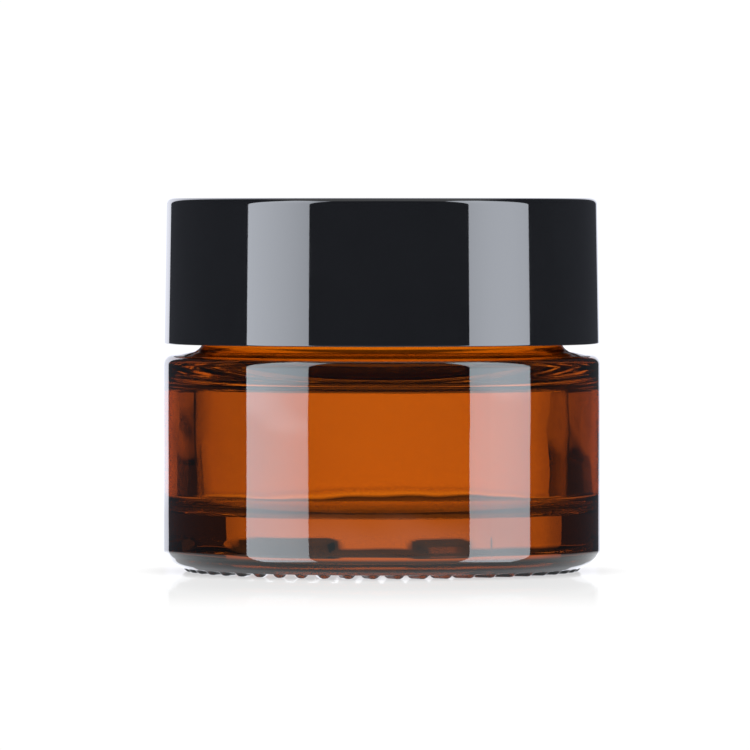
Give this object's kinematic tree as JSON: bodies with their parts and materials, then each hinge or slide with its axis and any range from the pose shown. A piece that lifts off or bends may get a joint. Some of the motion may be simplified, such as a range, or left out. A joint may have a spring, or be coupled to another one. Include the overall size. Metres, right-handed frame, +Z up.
{
  "type": "cosmetic cream jar",
  "caption": "Low round amber glass cream jar with a thick base, slanted grip bars under the heel, a gloss black screw lid, foam wad and white inner disc.",
  "frame": {"origin": "on the jar's axis, in the plane of the flats of the bearing bars that it stands on", "axes": "+Z up along the axis of the jar and the screw thread; +X is where the glass thread starts at its lower end; -Y is the front"},
  "size_m": [0.054, 0.054, 0.0462],
  "materials": {
    "amber_glass": "clear amber glass, polished",
    "black_gloss_plastic": "high gloss black polypropylene",
    "black_matte_plastic": "fine matt black polypropylene",
    "white_foam": "skinned white polyethylene foam",
    "white_plastic": "satin white polypropylene"
  },
  "bodies": {
    "jar": {"glass_jar": "amber_glass"},
    "wad": {"sealing_wad": "white_foam"},
    "lid": {"lid_shell": "black_gloss_plastic", "lid_inner_cap": "black_matte_plastic"},
    "disc": {"inner_disc": "white_plastic"}
  },
  "joints": [
    {"name": "lid_rise", "type": "slide", "parent": "jar", "child": "wad", "axis": [0, 0, 1], "range_m": [0, 0.0149]},
    {"name": "lid_turn", "type": "hinge", "parent": "wad", "child": "lid", "pos_m": [0, 0, 0.0282], "axis": [0, 0, 1], "range_deg": [0, 1260]},
    {"name": "disc_lift", "type": "slide", "parent": "jar", "child": "disc", "axis": [0, 0, 1], "range_m": [0, 0.0053]}
  ],
  "couplings": [
    {"joint": "lid_rise", "follows": "lid_turn", "m_per_rad": 0.0006737},
    {"joint": "disc_lift", "follows": "lid_turn", "m_per_rad": 0.00023873}
  ]
}
